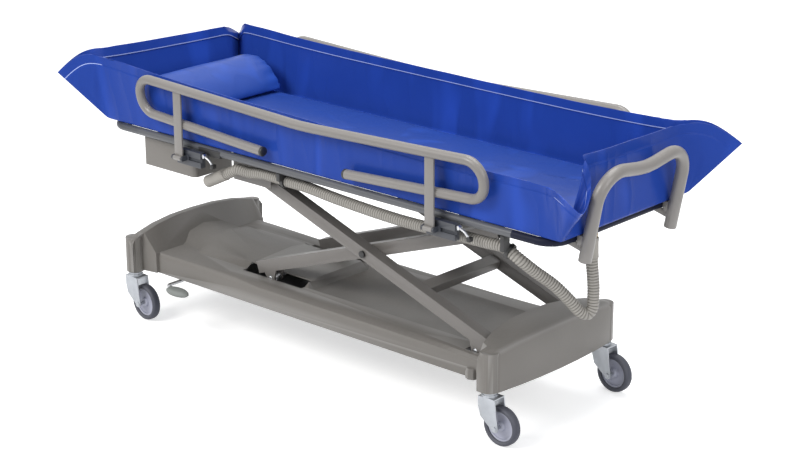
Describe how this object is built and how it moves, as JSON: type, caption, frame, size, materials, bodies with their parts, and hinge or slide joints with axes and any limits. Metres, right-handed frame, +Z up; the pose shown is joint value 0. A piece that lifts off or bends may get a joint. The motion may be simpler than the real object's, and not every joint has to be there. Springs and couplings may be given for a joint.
{
  "type": "shower trolley",
  "caption": "Height-adjustable shower trolley with a soft tub on a scissor lift, fold-down side rails, end hoops, drain hose and swivel casters.",
  "frame": {"origin": "on the floor under the middle of the bed", "axes": "+X towards the foot end along the bed, -Y towards the near side with the pedal and hose, +Z up"},
  "size_m": [2.134, 0.834, 0.905],
  "materials": {
    "paint_grey": "satin warm grey paint",
    "frame_blue": "dark blue grey paint",
    "cover_grey": "fine matt moulded plastic",
    "steel_dark": "dark plated steel",
    "steel_bright": "bright plated steel",
    "fork_zinc": "bluish zinc plate",
    "hub_grey": "satin nylon",
    "tyre_grey": "matt rubber",
    "black_plastic": "satin black",
    "hose_grey": "ribbed soft plastic",
    "liner_blue": "glossy coated vinyl sheet",
    "cushion_blue": "glossy coated vinyl over foam",
    "pedal_grey": "matt soft grip"
  },
  "bodies": {
    "base": {"base_cover": "cover_grey", "chassis_head_beam": "steel_dark", "chassis_foot_beam": "steel_dark", "chassis_rail_near": "steel_dark", "chassis_rail_far": "steel_dark", "lift_cylinder": "steel_dark", "pump_unit": "steel_dark", "base_pivot_shaft": "steel_bright"},
    "rod": {"piston_rod": "steel_bright"},
    "pedal": {"pedal_lever": "steel_bright", "pedal_pad": "pedal_grey"},
    "outer_arms": {"outer_arm_near": "paint_grey", "outer_arm_far": "paint_grey", "outer_arm_cross_tube": "paint_grey", "upper_roller_axle": "steel_bright", "scissor_bolt_near": "black_plastic", "scissor_bolt_far": "black_plastic"},
    "inner_arms": {"inner_arm_near": "paint_grey", "inner_arm_far": "paint_grey", "lower_roller_axle": "steel_bright"},
    "stretcher": {"long_member_near": "paint_grey", "long_member_far": "paint_grey", "cross_member_head": "paint_grey", "cross_member_foot": "paint_grey", "stretcher_pivot_shaft": "steel_bright", "side_tube_near": "frame_blue", "side_tube_far": "frame_blue", "head_end_bow": "frame_blue", "foot_end_bow": "frame_blue", "bed_platform": "cover_grey", "foot_hoop": "paint_grey", "head_hoop": "paint_grey", "tub_liner": "liner_blue", "mattress": "cushion_blue", "pillow": "cushion_blue", "control_box": "cover_grey", "drain_outlet": "cover_grey", "drain_cuff": "hose_grey", "drain_hose": "hose_grey", "hose_end_cuff": "hose_grey", "hose_clip_head": "black_plastic", "hose_clip_foot": "black_plastic"},
    "rail_near": {"side_rail_near": "paint_grey"},
    "rail_far": {"side_rail_far": "paint_grey"},
    "latch_near_head": {"rail_latch_near_head": "steel_bright"},
    "latch_near_foot": {"rail_latch_near_foot": "steel_bright"},
    "latch_far_head": {"rail_latch_far_head": "steel_bright"},
    "latch_far_foot": {"rail_latch_far_foot": "steel_bright"},
    "swivel_near_head": {"caster_fork_near_head": "fork_zinc"},
    "wheel_near_head": {"caster_hub_near_head": "hub_grey", "caster_tyre_near_head": "tyre_grey"},
    "swivel_far_head": {"caster_fork_far_head": "fork_zinc"},
    "wheel_far_head": {"caster_hub_far_head": "hub_grey", "caster_tyre_far_head": "tyre_grey"},
    "swivel_near_foot": {"caster_fork_near_foot": "fork_zinc"},
    "wheel_near_foot": {"caster_hub_near_foot": "hub_grey", "caster_tyre_near_foot": "tyre_grey"},
    "swivel_far_foot": {"caster_fork_far_foot": "fork_zinc"},
    "wheel_far_foot": {"caster_hub_far_foot": "hub_grey", "caster_tyre_far_foot": "tyre_grey"}
  },
  "joints": [
    {"name": "lift", "type": "hinge", "parent": "base", "child": "outer_arms", "pos_m": [0.566, 0, 0.24], "axis": [0, 1, 0], "range_deg": [-10.4, 12.1]},
    {"name": "scissor_cross", "type": "hinge", "parent": "outer_arms", "child": "inner_arms", "pos_m": [0.115, 0, 0.438], "axis": [0, 1, 0], "range_deg": [-24.3, 20.9]},
    {"name": "bed_level", "type": "hinge", "parent": "inner_arms", "child": "stretcher", "pos_m": [0.566, 0, 0.636], "axis": [0, 1, 0], "range_deg": [-10.45, 12.15]},
    {"name": "cylinder_stroke", "type": "slide", "parent": "base", "child": "rod", "axis": [1, 0, 0], "range_m": [-0.0724, 0.0841]},
    {"name": "pedal_stroke", "type": "hinge", "parent": "base", "child": "pedal", "pos_m": [-0.698, -0.08, 0.1817], "axis": [1, 0, 0], "range_deg": [0, 12], "stiffness_Nm_per_rad": 8, "springref_deg": -25.78},
    {"name": "rail_near_fold", "type": "hinge", "parent": "stretcher", "child": "rail_near", "pos_m": [0, -0.356, 0.646], "axis": [1, 0, 0], "range_deg": [0, 178]},
    {"name": "rail_far_fold", "type": "hinge", "parent": "stretcher", "child": "rail_far", "pos_m": [0, 0.356, 0.646], "axis": [-1, 0, 0], "range_deg": [0, 178]},
    {"name": "latch_near_head_lift", "type": "hinge", "parent": "stretcher", "child": "latch_near_head", "pos_m": [-0.4537, -0.327, 0.663], "axis": [0, -1, 0], "range_deg": [0, 20], "stiffness_Nm_per_rad": 0.1, "springref_deg": -22.92},
    {"name": "latch_near_foot_lift", "type": "hinge", "parent": "stretcher", "child": "latch_near_foot", "pos_m": [0.6053, -0.327, 0.663], "axis": [0, -1, 0], "range_deg": [0, 20], "stiffness_Nm_per_rad": 0.1, "springref_deg": -22.92},
    {"name": "latch_far_head_lift", "type": "hinge", "parent": "stretcher", "child": "latch_far_head", "pos_m": [-0.4537, 0.327, 0.663], "axis": [0, -1, 0], "range_deg": [0, 20], "stiffness_Nm_per_rad": 0.1, "springref_deg": -22.92},
    {"name": "latch_far_foot_lift", "type": "hinge", "parent": "stretcher", "child": "latch_far_foot", "pos_m": [0.6053, 0.327, 0.663], "axis": [0, -1, 0], "range_deg": [0, 20], "stiffness_Nm_per_rad": 0.1, "springref_deg": -22.92},
    {"name": "swivel_near_head_turn", "type": "hinge", "parent": "base", "child": "swivel_near_head", "pos_m": [-0.877, -0.272, 0.164], "axis": [0, 0, 1], "continuous": true},
    {"name": "wheel_near_head_spin", "type": "hinge", "parent": "swivel_near_head", "child": "wheel_near_head", "pos_m": [-0.83909, -0.27465, 0.061], "axis": [0.0698, 0.9976, 0], "continuous": true},
    {"name": "swivel_far_head_turn", "type": "hinge", "parent": "base", "child": "swivel_far_head", "pos_m": [-0.877, 0.272, 0.164], "axis": [0, 0, 1], "continuous": true},
    {"name": "wheel_far_head_spin", "type": "hinge", "parent": "swivel_far_head", "child": "wheel_far_head", "pos_m": [-0.83915, 0.26869, 0.061], "axis": [0.0872, 0.9962, 0], "continuous": true},
    {"name": "swivel_near_foot_turn", "type": "hinge", "parent": "base", "child": "swivel_near_foot", "pos_m": [0.677, -0.272, 0.164], "axis": [0, 0, 1], "continuous": true},
    {"name": "wheel_near_foot_spin", "type": "hinge", "parent": "swivel_near_foot", "child": "wheel_near_foot", "pos_m": [0.71499, -0.27134, 0.061], "axis": [-0.0175, 0.9998, 0], "continuous": true},
    {"name": "swivel_far_foot_turn", "type": "hinge", "parent": "base", "child": "swivel_far_foot", "pos_m": [0.677, 0.272, 0.164], "axis": [0, 0, 1], "continuous": true},
    {"name": "wheel_far_foot_spin", "type": "hinge", "parent": "swivel_far_foot", "child": "wheel_far_foot", "pos_m": [0.71498, 0.27067, 0.061], "axis": [0.0349, 0.9994, 0], "continuous": true}
  ],
  "couplings": [
    {"joint": "scissor_cross", "follows": "lift", "ratio": -2},
    {"joint": "bed_level", "follows": "lift", "ratio": 1},
    {"joint": "cylinder_stroke", "follows": "lift", "m_per_rad": 0.396}
  ]
}
